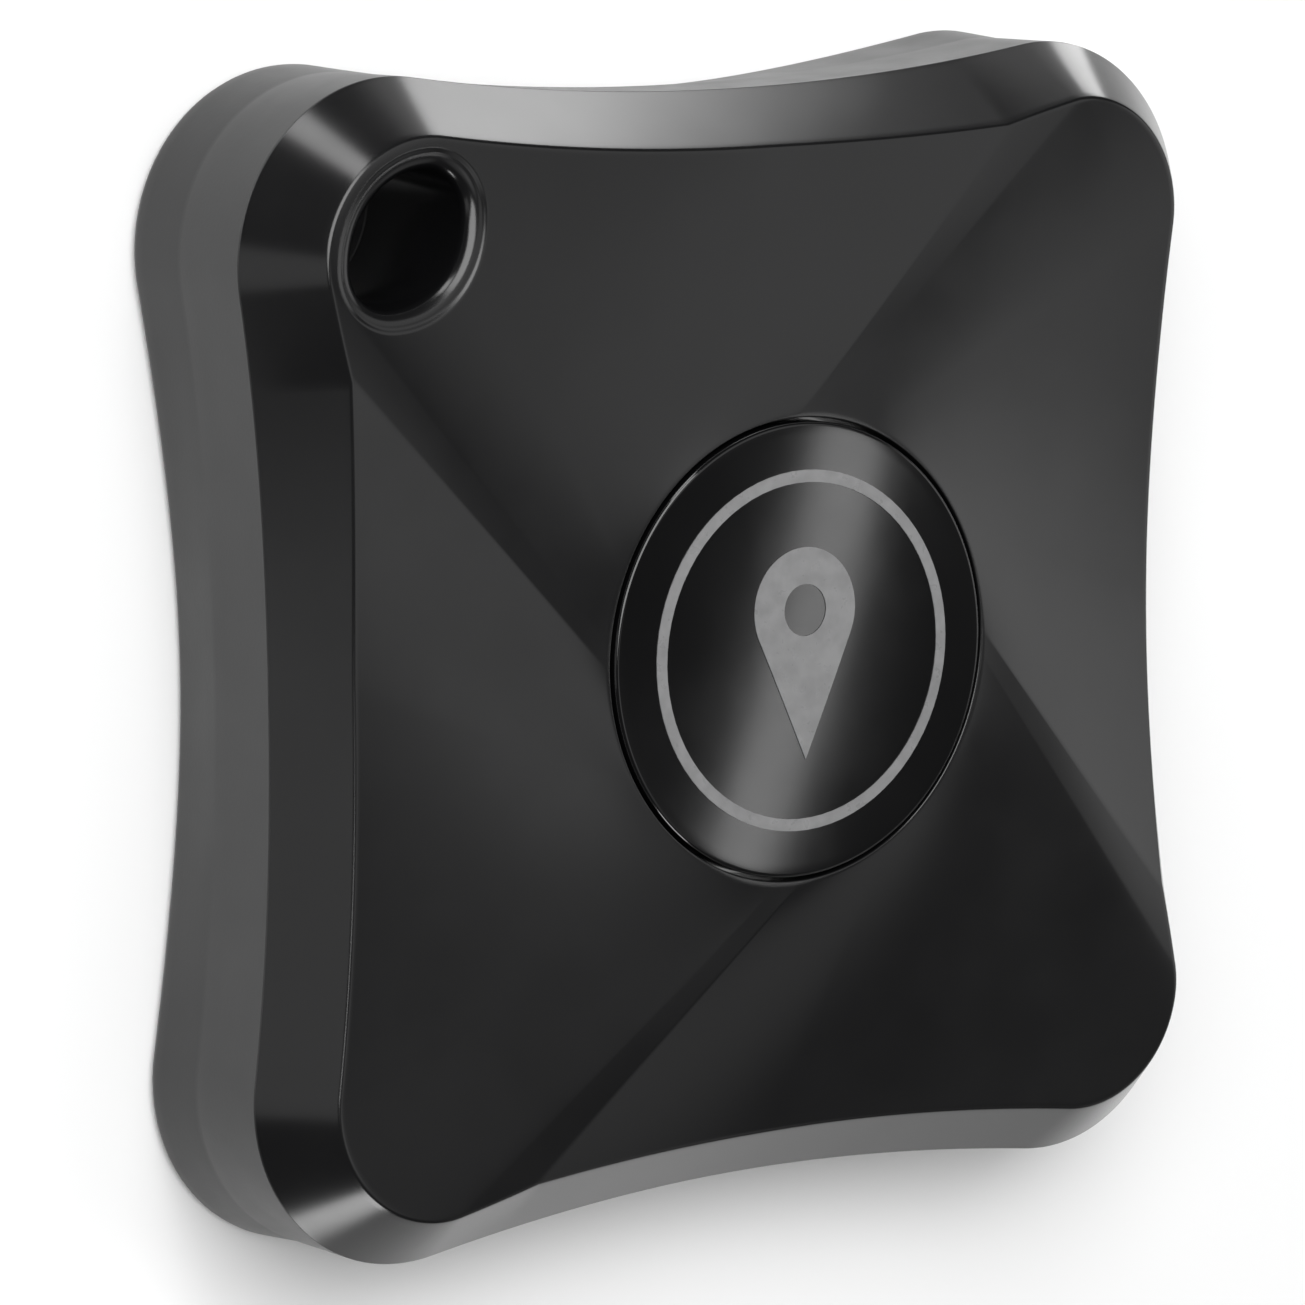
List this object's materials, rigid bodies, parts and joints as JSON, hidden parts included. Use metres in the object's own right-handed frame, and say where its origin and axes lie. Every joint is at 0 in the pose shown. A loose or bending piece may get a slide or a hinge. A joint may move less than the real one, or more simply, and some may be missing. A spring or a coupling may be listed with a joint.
{
  "type": "bluetooth tracker tag",
  "caption": "Square tracker tag with hollowed sides, a pinwheel front, a round push button and an oval key-ring hole; the case lifts apart and frees its coin cell.",
  "frame": {"origin": "centre of the flat back, which lies on z = 0", "axes": "+Z out of the front face, +Y towards the side with the key-ring hole's corner, +X to the right seen from the front"},
  "size_m": [0.0384, 0.0384, 0.01],
  "materials": {
    "front_cover": "glossy black",
    "rear_shell": "satin black",
    "button": "polished black",
    "print": "light grey ink",
    "silicone": "translucent grey",
    "foam": "matt",
    "board": "green solder mask",
    "steel": "stamped",
    "gold": "gold plated",
    "chip": "moulded",
    "ceramic": "fired",
    "tin": "tinned",
    "ferrite": "sintered",
    "capacitor": "ceramic",
    "resistor": "thick film",
    "led": "moulded lens",
    "white_plastic": "natural nylon",
    "copper": "enamelled wire",
    "cell_steel": "nickel plated",
    "cathode": "pressed powder",
    "paper": "fibre"
  },
  "bodies": {
    "rear_half": {"rear_shell": "rear_shell", "cell_foam_pad": "foam"},
    "front_half": {"front_cover": "front_cover", "circuit_board": "board", "board_screws": "steel", "solder_pads": "gold", "bluetooth_chip": "chip", "chip_antenna": "ceramic", "crystal": "tin", "boost_coil": "ferrite", "driver_transistor": "chip", "chip_capacitors": "capacitor", "chip_resistors": "resistor", "status_led": "led", "switch_base": "chip", "switch_cover": "steel", "switch_dome": "steel", "switch_terminals": "tin", "buzzer_case": "chip", "buzzer_diaphragm": "steel", "buzzer_magnet": "ferrite", "buzzer_coil": "copper", "buzzer_yoke": "steel", "buzzer_terminals": "tin", "cell_frame": "white_plastic", "cell_positive_contact": "gold", "cell_negative_contact": "gold"},
    "button": {"button_cap": "button", "button_print": "print", "button_pad": "silicone"},
    "plunger": {"switch_plunger": "white_plastic"},
    "coin_cell": {"cell_can": "cell_steel", "cell_cap": "cell_steel", "cell_seal": "white_plastic", "cell_cathode": "cathode", "cell_separator": "paper", "cell_anode": "tin"}
  },
  "joints": [
    {"name": "case_opening", "type": "slide", "parent": "rear_half", "child": "front_half", "axis": [0, 0, 1], "range_m": [0, 0.02]},
    {"name": "cell_release", "type": "slide", "parent": "front_half", "child": "coin_cell", "axis": [0, 0, -1], "range_m": [0, 0.01]},
    {"name": "button_press", "type": "slide", "parent": "front_half", "child": "button", "axis": [0, 0, -1], "range_m": [0, 0.0003], "stiffness_N_per_m": 3000, "springref_m": -0.0002},
    {"name": "switch_press", "type": "slide", "parent": "front_half", "child": "plunger", "axis": [0, 0, -1], "range_m": [0, 0.0003], "deforming": ["switch_dome"]}
  ],
  "couplings": [
    {"joint": "cell_release", "follows": "case_opening", "ratio": 0.5},
    {"joint": "switch_press", "follows": "button_press", "ratio": 1}
  ]
}
